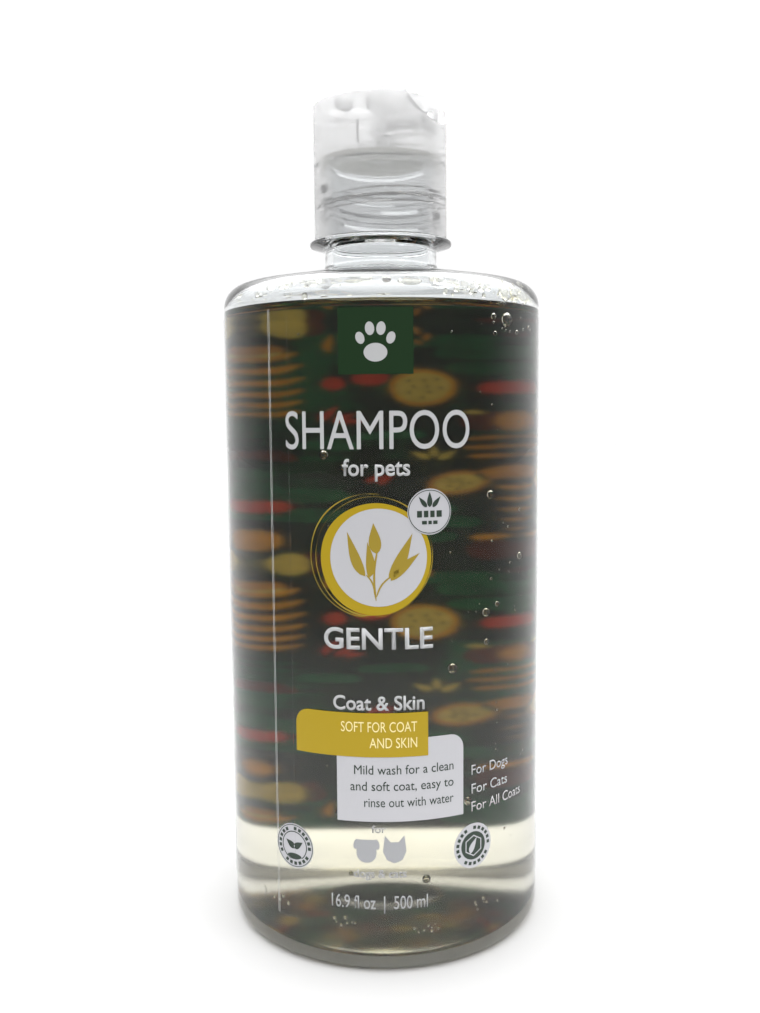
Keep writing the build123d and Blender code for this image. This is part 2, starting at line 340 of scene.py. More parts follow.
bubbles = {
    # degrees round from the front, height, radius: the ones that cling to the wall
    "large": [(-20, 106.9, 0.95), (-13, 104.3, 0.8), (40, 98.2, 0.95), (57, 84.4, 0.85), (38, 73.8, 0.95),
              (43, 75.2, 0.6),
              (38, 67.6, 0.7), (24, 63.1, 1.05), (-16, 33.7, 0.8), (30, 34.5, 0.9), (-12, 20.9, 0.45),
              (14, 19.3, 0.9),
              (56, 94.4, 0.35), (49, 134.0, 1.5), (41, 134.4, 0.7)],
    "strays": 70, "clusters": [(-15, 10.5), (16, 9.0), (35, 11.5), (-42, 12.0)], "seed": 5,
}


def makeBubbles(inner):
    # air in the gel: hollow balls, so their faces look inwards
    rng = random.Random(bubbles["seed"])
    spots = list(bubbles["large"])
    for k in range(bubbles["strays"]):
        spots.append((rng.gauss(48, 16), rng.uniform(22, 134), rng.choice((0.12, 0.16, 0.2, 0.28))))
        if k % 3 == 0:
            spots.append((rng.uniform(-60, 60), rng.uniform(20, 133), rng.choice((0.1, 0.14, 0.18))))
        if k % 4 == 0:
            spots.append((rng.uniform(38, 66), rng.uniform(131, 135), rng.uniform(0.2, 0.55)))
    for centre, height in bubbles["clusters"]:
        for k in range(9):
            spots.append((centre + rng.gauss(0, 3.5), height + rng.uniform(-1.0, 1.0), rng.uniform(0.2, 0.5)))
    balls = []
    placed = []
    for degrees, height, radius in spots:
        angle = math.radians(degrees)
        reach = inner - radius - 0.12
        centre = Vector((reach * math.sin(angle), -reach * math.cos(angle), height))
        if any((centre - other).length < radius + size + 0.05 for other, size in placed):
            continue
        placed.append((centre, radius))
        deselectAll()
        fine = radius > 0.5
        bpy.ops.mesh.primitive_uv_sphere_add(
            radius=radius * mm, location=centre * mm, segments=32 if fine else 16,
            ring_count=16 if fine else 8
        )
        balls.append(bpy.context.object)
    ball = joinAll(balls, "bubbles")
    editAll(ball)
    bpy.ops.mesh.normals_make_consistent(inside=True)
    bpy.ops.object.mode_set(mode="OBJECT")
    pick(ball)
    bpy.ops.object.transform_apply(location=True, rotation=True, scale=True)
    ball.data.materials.append(shampooTop)
    return [ball]


def makeShampoo(shape):
    gap = 0.05
    inner = bodyRadius / mm - shape["wall"] - gap
    level = fillTop / mm
    heel = shape["heelRound"] - shape["wall"] - gap
    outline = baseCurve(shape, shape["wall"] + gap, False)
    outline += roundCorners([(shape["footRadius"], shape["wall"] + gap, 0),
                             (inner, shape["wall"] + gap, heel),
                             (inner, level + meniscus["rise"], 0)])[1:]
    for reach in (0.15, 0.35, 0.6, 0.9, 1.3, 1.8, 2.5, 3.5, 5.0, 8.0, 16.0, 25.0):
        outline.append((inner - reach, level + meniscus["rise"] * math.exp(-reach / meniscus["reach"])))
    outline.append((0, level))
    fill = spinOutline("shampooFill", outline, 192)
    fill.data.materials.append(shampooSide)
    fill.data.materials.append(shampooTop)
    for face in fill.data.polygons:
        face.material_index = 1 if face.normal.z > 0.02 and face.center.z > fillTop - 1 * mm else 0
    fill = joinAll([fill] + makeBubbles(inner), "shampooFill")
    finishPiece(fill, "bottle", "shampoo_gel")
    smooth(fill, 60)
    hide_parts("shampoo")
    return fill


fill = makeShampoo(bottleShape)
print("shampoo:", len(fill.data.polygons), "faces")


# drops and smears of gel left on the wall over the liquid
drops = {
    "small": 70, "slopeOnly": 40, "around": 24, "seed": 21, "lift": 0.06,
    # degrees round, distance up the inside wall from the liquid, half width, half height: the big ones
    "big": [(47, 3.6, 0.9, 2.4), (53, 3.2, 0.8, 2.1), (60, 3.8, 1.0, 2.6), (67, 3.4, 0.7, 2.0),
            (36, 5.4, 0.8, 1.2),
            (12, 11.5, 2.6, 1.3), (2, 9.0, 1.0, 2.2), (20, 7.6, 1.6, 0.8), (-28, 9.5, 1.8, 1.0),
            (-12, 13.0, 2.2, 0.8),
            (-44, 6.5, 0.9, 1.3), (32, 12.5, 2.0, 0.9), (-36, 5.2, 1.2, 0.7), (26, 4.6, 0.7, 0.9),
            (-5, 6.2, 1.3, 0.6)],
}


def makeDrops(shape):
    rng = random.Random(drops["seed"])
    wallRadius = bodyRadius / mm - shape["wall"]
    corner = shape["shoulderRound"] - shape["wall"]
    slope = math.atan2(shape["neckFoot"] - shape["shoulderCorner"], wallRadius - shape["neckBore"])
    cornerTurn = math.pi / 2 - slope
    roundStart = shape["shoulderCorner"] - shape["shoulderWall"] - corner * math.tan(cornerTurn / 2)
    straight = roundStart - fillTop / mm
    blobs = []

    def insideWall(up):
        # radius, height and the direction into the bottle, a distance up the wall from the liquid
        if up < straight:
            return wallRadius, fillTop / mm + up, Vector((-1, 0))
        turn = min((up - straight) / corner, cornerTurn)
        rest = max(0, up - straight - corner * cornerTurn)
        radius = wallRadius - corner * (1 - math.cos(turn)) - rest * math.cos(slope)
        height = roundStart + corner * math.sin(turn) + rest * math.sin(slope)
        return radius, height, Vector((-math.cos(turn), -math.sin(turn)))

    def blob(degrees, up, across, along, thick, spin=0.0):
        angle = math.radians(degrees)
        outward = Vector((math.sin(angle), -math.cos(angle), 0))
        radius, height, inward = insideWall(up)
        normal = outward * inward.x + Vector((0, 0, inward.y))
        side = Vector((math.cos(angle), math.sin(angle), 0))
        upWall = normal.cross(side)
        centre = outward * radius + Vector((0, 0, height)) + normal * (thick + drops["lift"])
        deselectAll()
        bpy.ops.mesh.primitive_uv_sphere_add(radius=mm, segments=drops["around"], ring_count=12)
        ball = bpy.context.object
        for v in ball.data.vertices:
            x, y, z = v.co / mm
            x, y = x * across, y * along * (1 - 0.15 * y)
            x, y = x * math.cos(spin) - y * math.sin(spin), x * math.sin(spin) + y * math.cos(spin)
            v.co = (centre + side * x + upWall * y + normal * z * thick) * mm
        blobs.append(ball)

    for degrees, up, across, along in drops["big"]:
        blob(degrees, up, across, along, 0.6 * min(across, along) + 0.15)
    for k in range(drops["small"]):
        degrees = rng.gauss(50, 15) if k % 2 else rng.uniform(-90, 250)
        size = rng.uniform(0.2, 0.75)
        blob(
            degrees, rng.uniform(1.8, 6.5), size * rng.uniform(0.6, 1.0), size, 0.55 * size,
            rng.uniform(-0.4, 0.4)
        )
    for k in range(drops["slopeOnly"]):
        size = rng.uniform(0.3, 1.2)
        blob(
            rng.uniform(-110, 250), rng.uniform(6.5, 22.0), size, size * rng.uniform(0.4, 1.0), 0.45 * size,
            rng.uniform(0, 3)
        )
    return joinAll(blobs, "wallDrops")


wallDrops = makeDrops(bottleShape)
dropMaterial, _, _, _ = newMaterial(
    "shampooDrops", Base_Color=linear("#fffdf2"), Roughness=0.0, IOR=iorShampoo, Transmission_Weight=1.0
)
editAll(wallDrops)
bpy.ops.mesh.normals_make_consistent(inside=False)
bpy.ops.object.mode_set(mode="OBJECT")
finishPiece(wallDrops, "bottle", "shampoo_gel", dropMaterial)
smooth(wallDrops, 60)
print("drops:", len(wallDrops.data.polygons), "faces")


# film label
def makeFilm():
    # clear label film: almost no surface of its own where it is glued down, whitish where it has been cut
    material, tree, shader, output = newMaterial(
        "clearFilmGlued", Base_Color=linear("#ffffff"), Roughness=0.03, IOR=1.02, Transmission_Weight=1.0
    )
    place = addNode(tree, "ShaderNodeTexCoord")
    flat = addNode(
        tree, "ShaderNodeVectorMath", {"operation": "MULTIPLY", 1: (1, 1, 0)}, [(place.outputs["Object"], 0)]
    )
    radial = addNode(tree, "ShaderNodeVectorMath", {"operation": "NORMALIZE"}, [(flat.outputs[0], 0)])
    shape = addNode(tree, "ShaderNodeNewGeometry")
    facing = addNode(
        tree, "ShaderNodeVectorMath", {"operation": "DOT_PRODUCT"}, [
            (radial.outputs[0], 0), (shape.outputs["True Normal"], 1)
        ]
    )
    size = addNode(tree, "ShaderNodeMath", {"operation": "ABSOLUTE"}, [(facing.outputs["Value"], 0)])
    edge = addNode(tree, "ShaderNodeMath", {"operation": "LESS_THAN", 1: 0.6}, [(size.outputs[0], 0)])
    white = addNode(tree, "ShaderNodeBsdfTranslucent", {"Color": linear("#dfe2e0")})
    faint = addNode(tree, "ShaderNodeMixShader", {0: 0.2}, [(shader.outputs[0], 1), (white.outputs[0], 2)])
    blend = addNode(
        tree, "ShaderNodeMixShader", links=[
            (edge.outputs[0], 0), (shader.outputs[0], 1), (faint.outputs[0], 2)
        ]
    )
    tree.links.new(blend.outputs[0], output.inputs["Surface"])
    return material


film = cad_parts["wrap_label"]
film.data.materials.clear()
film.data.materials.append(makeFilm())


# closure
def makePolypropylene():
    # natural polypropylene, injection moulded: milky and satin, glows where light comes through it,
    # and shows what lies just behind it as soft shapes
    material, tree, shader, output = newMaterial(
        "naturalPolypropyleneMoulded", Base_Color=linear("#fefefe"), Roughness=0.04, IOR=1.49,
        Transmission_Weight=1.0
    )
    place = addNode(tree, "ShaderNodeTexCoord")
    satin = addNode(
        tree, "ShaderNodeTexNoise", {"Scale": 900, "Detail": 2.0}, [(place.outputs["Object"], "Vector")]
    )
    bump = addNode(
        tree, "ShaderNodeBump", {"Strength": 0.25, "Distance": 0.01 * mm}, [(satin.outputs["Fac"], "Height")]
    )
    tree.links.new(bump.outputs[0], shader.inputs["Normal"])
    glow = addNode(tree, "ShaderNodeBsdfTranslucent", {"Color": linear("#fefefe")})
    milk = addNode(tree, "ShaderNodeBsdfDiffuse", {"Color": linear("#fcfcfd")})
    cloudy = addNode(tree, "ShaderNodeMixShader", {0: 0.4}, [(glow.outputs[0], 1), (milk.outputs[0], 2)])
    blend = addNode(tree, "ShaderNodeMixShader", {0: 0.27}, [(shader.outputs[0], 1), (cloudy.outputs[0], 2)])
    tree.links.new(blend.outputs[0], output.inputs["Surface"])
    return material


polypropylene = makePolypropylene()
for nodeName in ("closure_shell", "press_disc"):
    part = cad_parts[nodeName]
    part.data.materials.clear()
    part.data.materials.append(polypropylene)


def makeFoam():
    # foamed polyethylene wad: matt white, fine cells, lets a little light through
    material, tree, shader, output = newMaterial(
        "foamedPolyethylene", Base_Color=linear("#fafaf8"), Roughness=0.85, IOR=1.5
    )
    place = addNode(tree, "ShaderNodeTexCoord")
    cells = addNode(tree, "ShaderNodeTexVoronoi", {"Scale": 4000}, [(place.outputs["Object"], "Vector")])
    bump = addNode(
        tree, "ShaderNodeBump", {"Strength": 0.5, "Distance": 0.04 * mm},
        [(cells.outputs["Distance"], "Height")]
    )
    tree.links.new(bump.outputs[0], shader.inputs["Normal"])
    glow = addNode(tree, "ShaderNodeBsdfTranslucent", {"Color": linear("#f6f6f3")})
    clear = addNode(tree, "ShaderNodeBsdfTransparent", {"Color": linear("#f6f6f3")})
    soft = addNode(tree, "ShaderNodeMixShader", {0: 0.6}, [(glow.outputs[0], 1), (clear.outputs[0], 2)])
    blend = addNode(tree, "ShaderNodeMixShader", {0: 0.85}, [(shader.outputs[0], 1), (soft.outputs[0], 2)])
    tree.links.new(blend.outputs[0], output.inputs["Surface"])
    return material


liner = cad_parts["cap_liner"]
liner.data.materials.clear()
liner.data.materials.append(makeFoam())


# printing: flat shapes drawn in XY, x round the bottle from the front, y up it, then wrapped on
def flatShape(splines, name="shape"):
    curve = bpy.data.curves.new(name, "CURVE")
    curve.dimensions = "2D"
    curve.fill_mode = "BOTH"
    for points in splines:
        spline = curve.splines.new("POLY")
        spline.points.add(len(points) - 1)
        for point, (x, y) in zip(spline.points, points):
            point.co = (x * mm, y * mm, 0, 1)
        spline.use_cyclic_u = True
    obj = bpy.data.objects.new(name, curve)
    bpy.context.collection.objects.link(obj)
    pick(obj)
    bpy.ops.object.convert(target="MESH")
    return bpy.context.object


def turned(points, x, y, turn):
    c, s = math.cos(turn), math.sin(turn)
    return [(x + px * c - py * s, y + px * s + py * c) for px, py in points]


def ellipse(x, y, width, height, turn=0.0, count=40, wobble=0.0, seed=0):
    rng = random.Random(seed)
    waves = [(rng.uniform(0.3, 1.0) * wobble / k, k, rng.uniform(0, 6.28)) for k in (2, 3, 5)]
    points = []
    for k in range(count):
        a = 2 * math.pi * k / count
        r = 1 + sum(size * math.sin(n * a + phase) for size, n, phase in waves)
        points.append((width / 2 * r * math.cos(a), height / 2 * r * math.sin(a)))
    return turned(points, x, y, turn)


def box(x0, y0, x1, y1, rounds=(0, 0, 0, 0)):
    corners = [(x0, y0), (x1, y0), (x1, y1), (x0, y1)]
    points = []
    for i, ((x, y), r) in enumerate(zip(corners, rounds)):
        if r == 0:
            points.append((x, y))
            continue
        cx = x + r * (1 if x == x0 else -1)
        cy = y + r * (1 if y == y0 else -1)
        first = math.pi * (1 + i / 2)
        points += [(cx + r * math.cos(first + math.pi / 2 * k / 8),
                    cy + r * math.sin(first + math.pi / 2 * k / 8))
                   for k in range(9)]
    return points


def leaf(x, y, length, width, degrees, lean=0.4):
    # from its stalk end at x, y, pointing along the angle; the widest place sits low
    side = []
    for k in range(1, 12):
        t = k / 12
        side.append((length * t, width / 2 * math.sin(math.pi * t**0.7) * (1 - 0.25 * t)))
    points = [(0, 0)] + [(px, py * (1 + lean)) for px, py in side]
    points += [(length, 0)] + [(px, -py * (1 - lean)) for px, py in side[::-1]]
    return turned(points, x, y, math.radians(degrees))


def stroke(x0, y0, x1, y1, width, bow=0.0, taper=0.6):
    # a brush stroke: swells in the middle, ends tapered, bowed sideways
    length = math.hypot(x1 - x0, y1 - y0)
    upper, lower = [], []
    for k in range(13):
        t = k / 12
        half = width / 2 * (1 - taper + taper * math.sin(math.pi * t)) * (0.35 if k in (0, 12) else 1)
        rise = bow * math.sin(math.pi * t)
        upper.append((length * t, rise + half))
        lower.append((length * t, rise - half))
    return turned(upper + lower[::-1], x0, y0, math.atan2(y1 - y0, x1 - x0))


def ring(x, y, outer, inner, wobble=0.0, seed=0):
    return [ellipse(x, y, 2 * outer, 2 * outer, 0, 72, wobble, seed),
            ellipse(x, y, 2 * inner, 2 * inner, 0, 72, wobble, seed + 1)]


def letterLine(text, x, baseline, width, capHeight, bold=0.0, align="CENTER"):
    deselectAll()
    bpy.ops.object.text_add()
    obj = bpy.context.object
    obj.data.body = text
    obj.data.offset = bold
    obj.data.resolution_u = 5
    pick(obj)
    bpy.ops.object.convert(target="MESH")
    obj = bpy.context.object
    xs = [v.co.x for v in obj.data.vertices]
    left = {"CENTER": x - width / 2, "RIGHT": x - width, "LEFT": x}[align]
    for v in obj.data.vertices:
        v.co.x = (left + (v.co.x - min(xs)) / (max(xs) - min(xs)) * width) * mm
        v.co.y = (baseline + v.co.y / 0.73 * capHeight) * mm
    return obj


def wrapPrint(name, objects, radius, material, centre=0.0, step=1.0, low=0.0, high=200.0, thickness=0.02):
    # cut into narrow strips so that it bends, laid round the bottle, then given the ink's thickness
    obj = joinAll(objects, name)
    pick(obj)
    bpy.ops.object.transform_apply(location=True, rotation=True, scale=True)
    for edge, away in ((low, -1), (high, 1)):
        editAll(obj)
        bpy.ops.mesh.bisect(plane_co=(0, edge * mm, 0), plane_no=(0, away, 0), clear_outer=True)
        bpy.ops.object.mode_set(mode="OBJECT")
    xs = [v.co.x for v in obj.data.vertices]
    cut = math.ceil(min(xs) / (step * mm)) * step * mm
    while cut < max(xs):
        editAll(obj)
        bpy.ops.mesh.bisect(plane_co=(cut, 0, 0), plane_no=(1, 0, 0))
        cut += step * mm
    bpy.ops.object.mode_set(mode="OBJECT")
    for v in obj.data.vertices:
        angle = centre + v.co.x / bodyRadius
        v.co = Vector((radius * mm * math.sin(angle), -radius * mm * math.cos(angle), v.co.y))
    editAll(obj)
    bpy.ops.mesh.remove_doubles(threshold=0.001 * mm)
    bpy.ops.object.mode_set(mode="OBJECT")
    applyModifier(obj, "SOLIDIFY", thickness=thickness * mm, offset=0)
    editAll(obj)
    bpy.ops.mesh.normals_make_consistent(inside=False)
    bpy.ops.object.mode_set(mode="OBJECT")
    return finishPiece(obj, "bottle", "printed_film", material)


# inks
def makeInk(name, colour, roughness=0.4, mottle=0.0):
    # flexographic ink on film: flat and even, very slightly mottled
    material, tree, shader, output = newMaterial(
        name, Base_Color=linear(colour), Roughness=roughness, IOR=1.45
    )
    if mottle:
        place = addNode(tree, "ShaderNodeTexCoord")
        stretch = addNode(
            tree, "ShaderNodeMapping", {"Scale": (260, 260, 900)}, [(place.outputs["Object"], "Vector")]
        )
        grain = addNode(
            tree, "ShaderNodeTexNoise", {"Scale": 1.0, "Detail": 3.0}, [(stretch.outputs[0], "Vector")]
        )
        span = addNode(
            tree, "ShaderNodeMapRange",
            {"From Min": 0.3, "From Max": 0.7, "To Min": 1 - mottle, "To Max": 1 + mottle},
            [(grain.outputs["Fac"], "Value")],
        )
        scaled = addNode(
            tree, "ShaderNodeVectorMath", {"operation": "SCALE", 0: linear(colour)[:3]}, [
                (span.outputs[0], "Scale")
            ]
        )
        tree.links.new(scaled.outputs[0], shader.inputs["Base Color"])
    return material


def makeFieldInk():
    # the back's ground: dark green-grey with wide, dry brushed smears of a fresher green
    material, tree, shader, output = newMaterial("inkField", Roughness=0.5, IOR=1.45)
    place = addNode(tree, "ShaderNodeTexCoord")
    wide = addNode(tree, "ShaderNodeMapping", {"Scale": (70, 70, 55)}, [(place.outputs["Object"], "Vector")])
    smears = addNode(tree, "ShaderNodeTexNoise", {"Scale": 1.0, "Detail": 2.0}, [(wide.outputs[0], "Vector")])
    thin = addNode(
        tree, "ShaderNodeMapping", {"Scale": (60, 60, 1100)}, [(place.outputs["Object"], "Vector")]
    )
    bristles = addNode(
        tree, "ShaderNodeTexNoise", {"Scale": 1.0, "Detail": 2.0}, [(thin.outputs[0], "Vector")]
    )
    both = addNode(
        tree, "ShaderNodeMath", {"operation": "MULTIPLY_ADD", 1: 0.35}, [
            (bristles.outputs["Fac"], 0), (smears.outputs["Fac"], 2)
        ]
    )
    amount = addNode(
        tree, "ShaderNodeMapRange", {"interpolation_type": "SMOOTHSTEP", "From Min": 0.66, "From Max": 0.86},
        [(both.outputs[0], "Value")],
    )
    mix = addNode(
        tree, "ShaderNodeMix", {"data_type": "RGBA", 6: linear("#162c1e"), 7: linear("#146c42")}, [
            (amount.outputs[0], 0)
        ]
    )
    tree.links.new(mix.outputs[2], shader.inputs["Base Color"])
    return material


def makeEdge():
    # where clear film is cut it scatters light instead of passing it
    material, tree, shader, output = newMaterial("filmCutEdge", Base_Color=linear("#ffffff"))
    clear = addNode(tree, "ShaderNodeBsdfTransparent")
    white = addNode(tree, "ShaderNodeBsdfTranslucent", {"Color": linear("#e4e8e6")})
    both = addNode(tree, "ShaderNodeMixShader", {0: 0.45}, [(clear.outputs[0], 1), (white.outputs[0], 2)])
    soft = addNode(tree, "ShaderNodeMixShader", {0: 0.35}, [(both.outputs[0], 1), (shader.outputs[0], 2)])
    tree.links.new(soft.outputs[0], output.inputs["Surface"])
    return material


inks = {
    "white": makeInk("inkWhite", "#b9babb"),
    "panel": makeInk("inkPanelGrey", "#bcbcc0"),
    "green": makeInk("inkDarkGreen", "#0b2c0c"),
    "yellow": makeInk("inkYellow", "#ab9112"),
    "gold": makeInk("inkGold", "#9c862c"),
    "pale": makeInk("inkPaleYellow", "#f0e2a4"),
    "grey": makeInk("inkGrey", "#a2a3a6"),
    "dark": makeInk("inkDarkText", "#2c3a30"),
    "sun": makeInk("inkBackYellow", "#ffe47c", 0.5, 0.12),
    "ochre": makeInk("inkBackOchre", "#ffb43c", 0.5, 0.15),
    "tan": makeInk("inkBackTan", "#eca64e", 0.5, 0.12),
    "red": makeInk("inkBackRed", "#ee5238", 0.5, 0.12),
    "brown": makeInk("inkBackBrown", "#6a2f20", 0.5, 0.2),
    "edge": makeEdge(),
    "fresh": makeInk("inkBackGreen", "#1d6a44", 0.5, 0.3),
    "field": makeFieldInk(),
}
printLift = {"ground": 0.15, "step": 0.03, "field": -0.05, "backStep": -0.03}
bodyMm = bodyRadius / mm


def frontPrint(name, layer, ink, shapes, words=()):
    objects = ([flatShape(shapes)] if shapes else []) + list(words)
    return wrapPrint(name, objects, bodyMm + printLift["ground"] + layer * printLift["step"], inks[ink])


# the label's cut edges: a fine pale line where the film ends
lap = {"degrees": -36.0, "width": 5.0, "line": 0.1, "spacing": 0.35, "lift": 0.14}
lapArc = math.radians(lap["degrees"]) * bodyMm
lapLines = [box(lapArc + side - lap["line"] / 2, filmLow.z / mm, lapArc + side + lap["line"] / 2,
                filmHigh.z / mm)
            for side in (-lap["width"] / 2, lap["spacing"] - lap["width"] / 2)]


# front print
wrapPrint("filmCutLines", [flatShape(lapLines)], bodyMm + lap["lift"], inks["edge"])
pawMark = [ellipse(-1.2, 126.9, 4.6, 3.6), ellipse(-4.2, 129.7, 1.7, 2.4, 0.35),
           ellipse(-2.3, 131.5, 1.8, 2.6, 0.1),
           ellipse(-0.1, 131.5, 1.8, 2.6, -0.1), ellipse(1.8, 129.7, 1.7, 2.4, -0.35)]
emblem = {"x": -1.0, "y": 86.6}
dogHead = [
    box(-6.0, 23.8, -1.9, 28.7, (2.0, 2.0, 0.5, 0.5)), ellipse(-6.1, 27.7, 1.0, 2.2, -0.2),
    ellipse(-1.8, 27.7, 1.0, 2.2, 0.2)
]
catHead = [
    [(-0.2, 29.6), (1.0, 28.2), (2.6, 28.2), (3.8, 29.6), (4.2, 26.2), (3.4, 24.4), (1.8, 23.7), (0.2, 24.4),
     (-0.6, 26.2)]
]
leftBadge = {"x": -20.1, "y": 25.2}
rightBadge = {"x": 19.1, "y": 25.2}


def badgeMarks(badge, radius, count, size):
    # a ring of short marks where a real badge has its small lettering
    marks = []
    for k in range(count):
        a = 2 * math.pi * k / count
        if k % 7 == 6:
            continue
        points = [(-size / 2, -0.35), (size / 2, -0.35), (size / 2, 0.35), (-size / 2, 0.35)]
        marks.append(
            turned(points, badge["x"] + radius * math.cos(a), badge["y"] + radius * math.sin(a),
                   a + math.pi / 2)
        )
    return marks


frontPrint("patchGround", 0, "green", [box(-8.6, 122.7, 6.2, 135.6)])
frontPrint("patchPaw", 1, "white", pawMark)
frontPrint("titleWords", 0, "white", [], [
    letterLine("SHAMPOO", -1.2, 108.1, 38.6, 8.0),
    letterLine("for pets", -1.3, 102.9, 13.4, 3.4, 0.02),
    letterLine("GENTLE", -1.2, 68.2, 22.2, 4.4, 0.02),
    letterLine("Coat & Skin", -1.2, 55.7, 18.6, 3.0, 0.02),
])
frontPrint(
    "emblemRing", 0, "yellow", [ellipse(emblem["x"] - 0.6, emblem["y"] - 0.3, 22.3, 22.5, 0.3, 72, 0.03, 4)]
)
frontPrint("emblemLines", 0, "gold", ring(emblem["x"] - 1.5, emblem["y"] + 0.4, 12.5, 12.35, 0.02, 7)
           + ring(emblem["x"] - 0.9, emblem["y"] + 0.2, 12.0, 11.88, 0.02, 2))
frontPrint("emblemDisc", 1, "panel", [ellipse(emblem["x"], emblem["y"], 19.4, 19.6, 0, 72)])
frontPrint("emblemSprig", 2, "gold", [], [flatShape([piece]) for piece in (
    leaf(-3.6, 82.9, 9.6, 2.3, 112, 0.5), leaf(-2.9, 82.6, 7.2, 2.0, 92, -0.5),
    leaf(-1.3, 87.4, 6.2, 2.7, 96, 0.1),
    leaf(1.0, 82.4, 10.2, 2.6, 62, -0.4), leaf(1.4, 82.0, 8.0, 2.2, 43, 0.3),
    stroke(-1.5, 78.0, -1.2, 88.0, 0.4, 0.5, 0.2), stroke(-1.8, 79.2, -3.4, 83.2, 0.34, -0.5, 0.2),
    stroke(-1.4, 78.8, 1.4, 82.8, 0.34, 0.5, 0.2),
)])
frontPrint("cornerBadge", 3, "panel", [ellipse(9.3, 95.6, 9.0, 9.2, 0, 56)])
frontPrint("cornerBadgeMarks", 4, "dark", ring(9.3, 95.6, 4.35, 4.2) + [
    leaf(9.3, 96.5, 3.1, 1.2, 90, 0), leaf(8.7, 96.5, 2.7, 1.0, 128, 0), leaf(9.9, 96.5, 2.7, 1.0, 52, 0),
    box(6.7, 94.5, 7.7, 95.8), box(8.1, 94.5, 9.0, 95.8), box(9.4, 94.5, 10.3, 95.8),
    box(10.7, 94.5, 11.8, 95.8),
    box(7.7, 93.1, 8.7, 93.8), box(9.0, 93.1, 9.7, 93.8), box(10.0, 93.1, 10.9, 93.8),
])
frontPrint("infoPanel", 0, "panel", [box(-9.9, 32.5, 16.6, 49.8, (0, 0, 3, 0))])
frontPrint("infoWords", 1, "dark", [], [
    letterLine("Mild wash for a clean", 14.3, 42.4, 20.6, 2.0, 0.0, "RIGHT"),
    letterLine("and soft coat, easy to", 14.3, 39.0, 21.4, 2.0, 0.0, "RIGHT"),
    letterLine("rinse out with water", 14.3, 35.6, 18.6, 2.0, 0.0, "RIGHT"),
])
frontPrint("banner", 2, "yellow", [box(-19, 46, 8.8, 55.1, (0, 0, 0, 3))])
frontPrint("bannerWords", 3, "pale", [], [
    letterLine("SOFT FOR COAT", 6.5, 51.2, 15.4, 2.2, 0.0, "RIGHT"),
    letterLine("AND SKIN", 6.5, 47.9, 9.6, 2.2, 0.0, "RIGHT"),
])
frontPrint("sideWords", 0, "white", [], [
    letterLine("For Dogs", 18.6, 40.4, 10.6, 2.2, 0.004, "LEFT"),
    letterLine("For Cats", 18.6, 36.4, 10.4, 2.2, 0.004, "LEFT"),
    letterLine("For All Coats", 18.6, 32.6, 15.6, 2.2, 0.004, "LEFT"),
])
frontPrint("badgeGrounds", 0, "panel", [ellipse(leftBadge["x"], leftBadge["y"], 9.4, 9.6, 0, 48),
                                        ellipse(rightBadge["x"], rightBadge["y"], 9.4, 9.6, 0, 48)])
frontPrint("badgeInk", 1, "dark", ring(leftBadge["x"], leftBadge["y"], 3.15, 2.95)
           + ring(leftBadge["x"], leftBadge["y"], 4.55, 4.4) + badgeMarks(leftBadge, 3.75, 21, 0.7)
           + [
               leaf(-20.1, 24.6, 2.7, 1.5, 38, 0.2), leaf(-20.1, 24.6, 2.7, 1.5, 142, -0.2),
               ellipse(-20.1, 22.9, 3.6, 1.3)
           ]
           + [ellipse(rightBadge["x"], rightBadge["y"], 6.0, 6.0, 0, 40)]
           + badgeMarks(rightBadge, 3.85, 21, 0.7))
frontPrint("badgeHexagon", 2, "panel", [ellipse(rightBadge["x"], rightBadge["y"], 4.6, 4.6, 0.52, 6),
                                        ellipse(rightBadge["x"], rightBadge["y"], 4.1, 4.1, 0.52, 6),
                                        leaf(18.3, 23.6, 3.6, 1.4, 64, 0.3)])
frontPrint("petHeads", 0, "grey", dogHead[:1] + catHead, [
    flatShape(dogHead[1:2]), flatShape(dogHead[2:]),
    letterLine("for", -1.4, 30.2, 3.0, 1.6, 0.015),
    letterLine("dogs & cats", -1.2, 20.7, 10.8, 1.8, 0.015),
    letterLine("16.9 fl oz  |  500 ml", -1.4, 14.0, 20.0, 2.9, 0.005),
])
print("front print done")


# back print, seen from the front through the liquid: x here is to the right as seen from the front
backSpan = {"drop": 57.9, "low": 10.0, "high": fillTop / mm + 0.7, "halfTurn": 104}


def backInk(name, layer, ink, shapes):
    # the same group of shapes is repeated down the label, and beside it half a drop lower
    parts = []
    drop = backSpan["drop"]
    for shift, lower in ((0, 0), (35, drop / 2), (-35, drop / 2)):
        for row in (-1, 0, 1, 2):
            lift = -row * drop - lower
            group = []
            for points in shapes:
                moved = [(-(x + shift), y + lift) for x, y in points]
                if min(y for _, y in moved) < filmHigh.z / mm + 1 and max(y for _, y in moved) > 9.6:
                    group.append(moved)
            if group:
                parts.append(flatShape(group))
    wrapPrint(name, parts, bodyMm + printLift["field"] + layer * printLift["backStep"], inks[ink], math.pi,
              low=backSpan["low"], high=backSpan["high"])


rng = random.Random(11)
backInk("backGreen", 1, "fresh", [
    stroke(7.5, 128.6, 20.0, 128.2, 3.6, 0.3, 0.3), stroke(9.0, 125.0, 21.0, 124.8, 3.2, -0.2, 0.3),
    stroke(-19.0, 93.6, -4.6, 94.0, 3.6, 0.3, 0.3), stroke(-18.0, 89.6, -3.2, 89.2, 3.4, -0.2, 0.3),
    stroke(4.4, 91.0, 10.6, 90.6, 2.4, 0.2, 0.3), stroke(3.0, 87.6, 13.8, 87.2, 3.0, 0.2, 0.3),
    stroke(2.4, 84.0, 10.6, 83.8, 2.6, -0.2, 0.3), stroke(3.6, 73.2, 16.0, 73.6, 3.0, 0.2, 0.3),
    stroke(-3.8, 108.4, 6.4, 108.8, 2.2, 0.2, 0.3), stroke(-12.4, 106.4, -3.2, 106.0, 2.4, 0.2, 0.3),
])
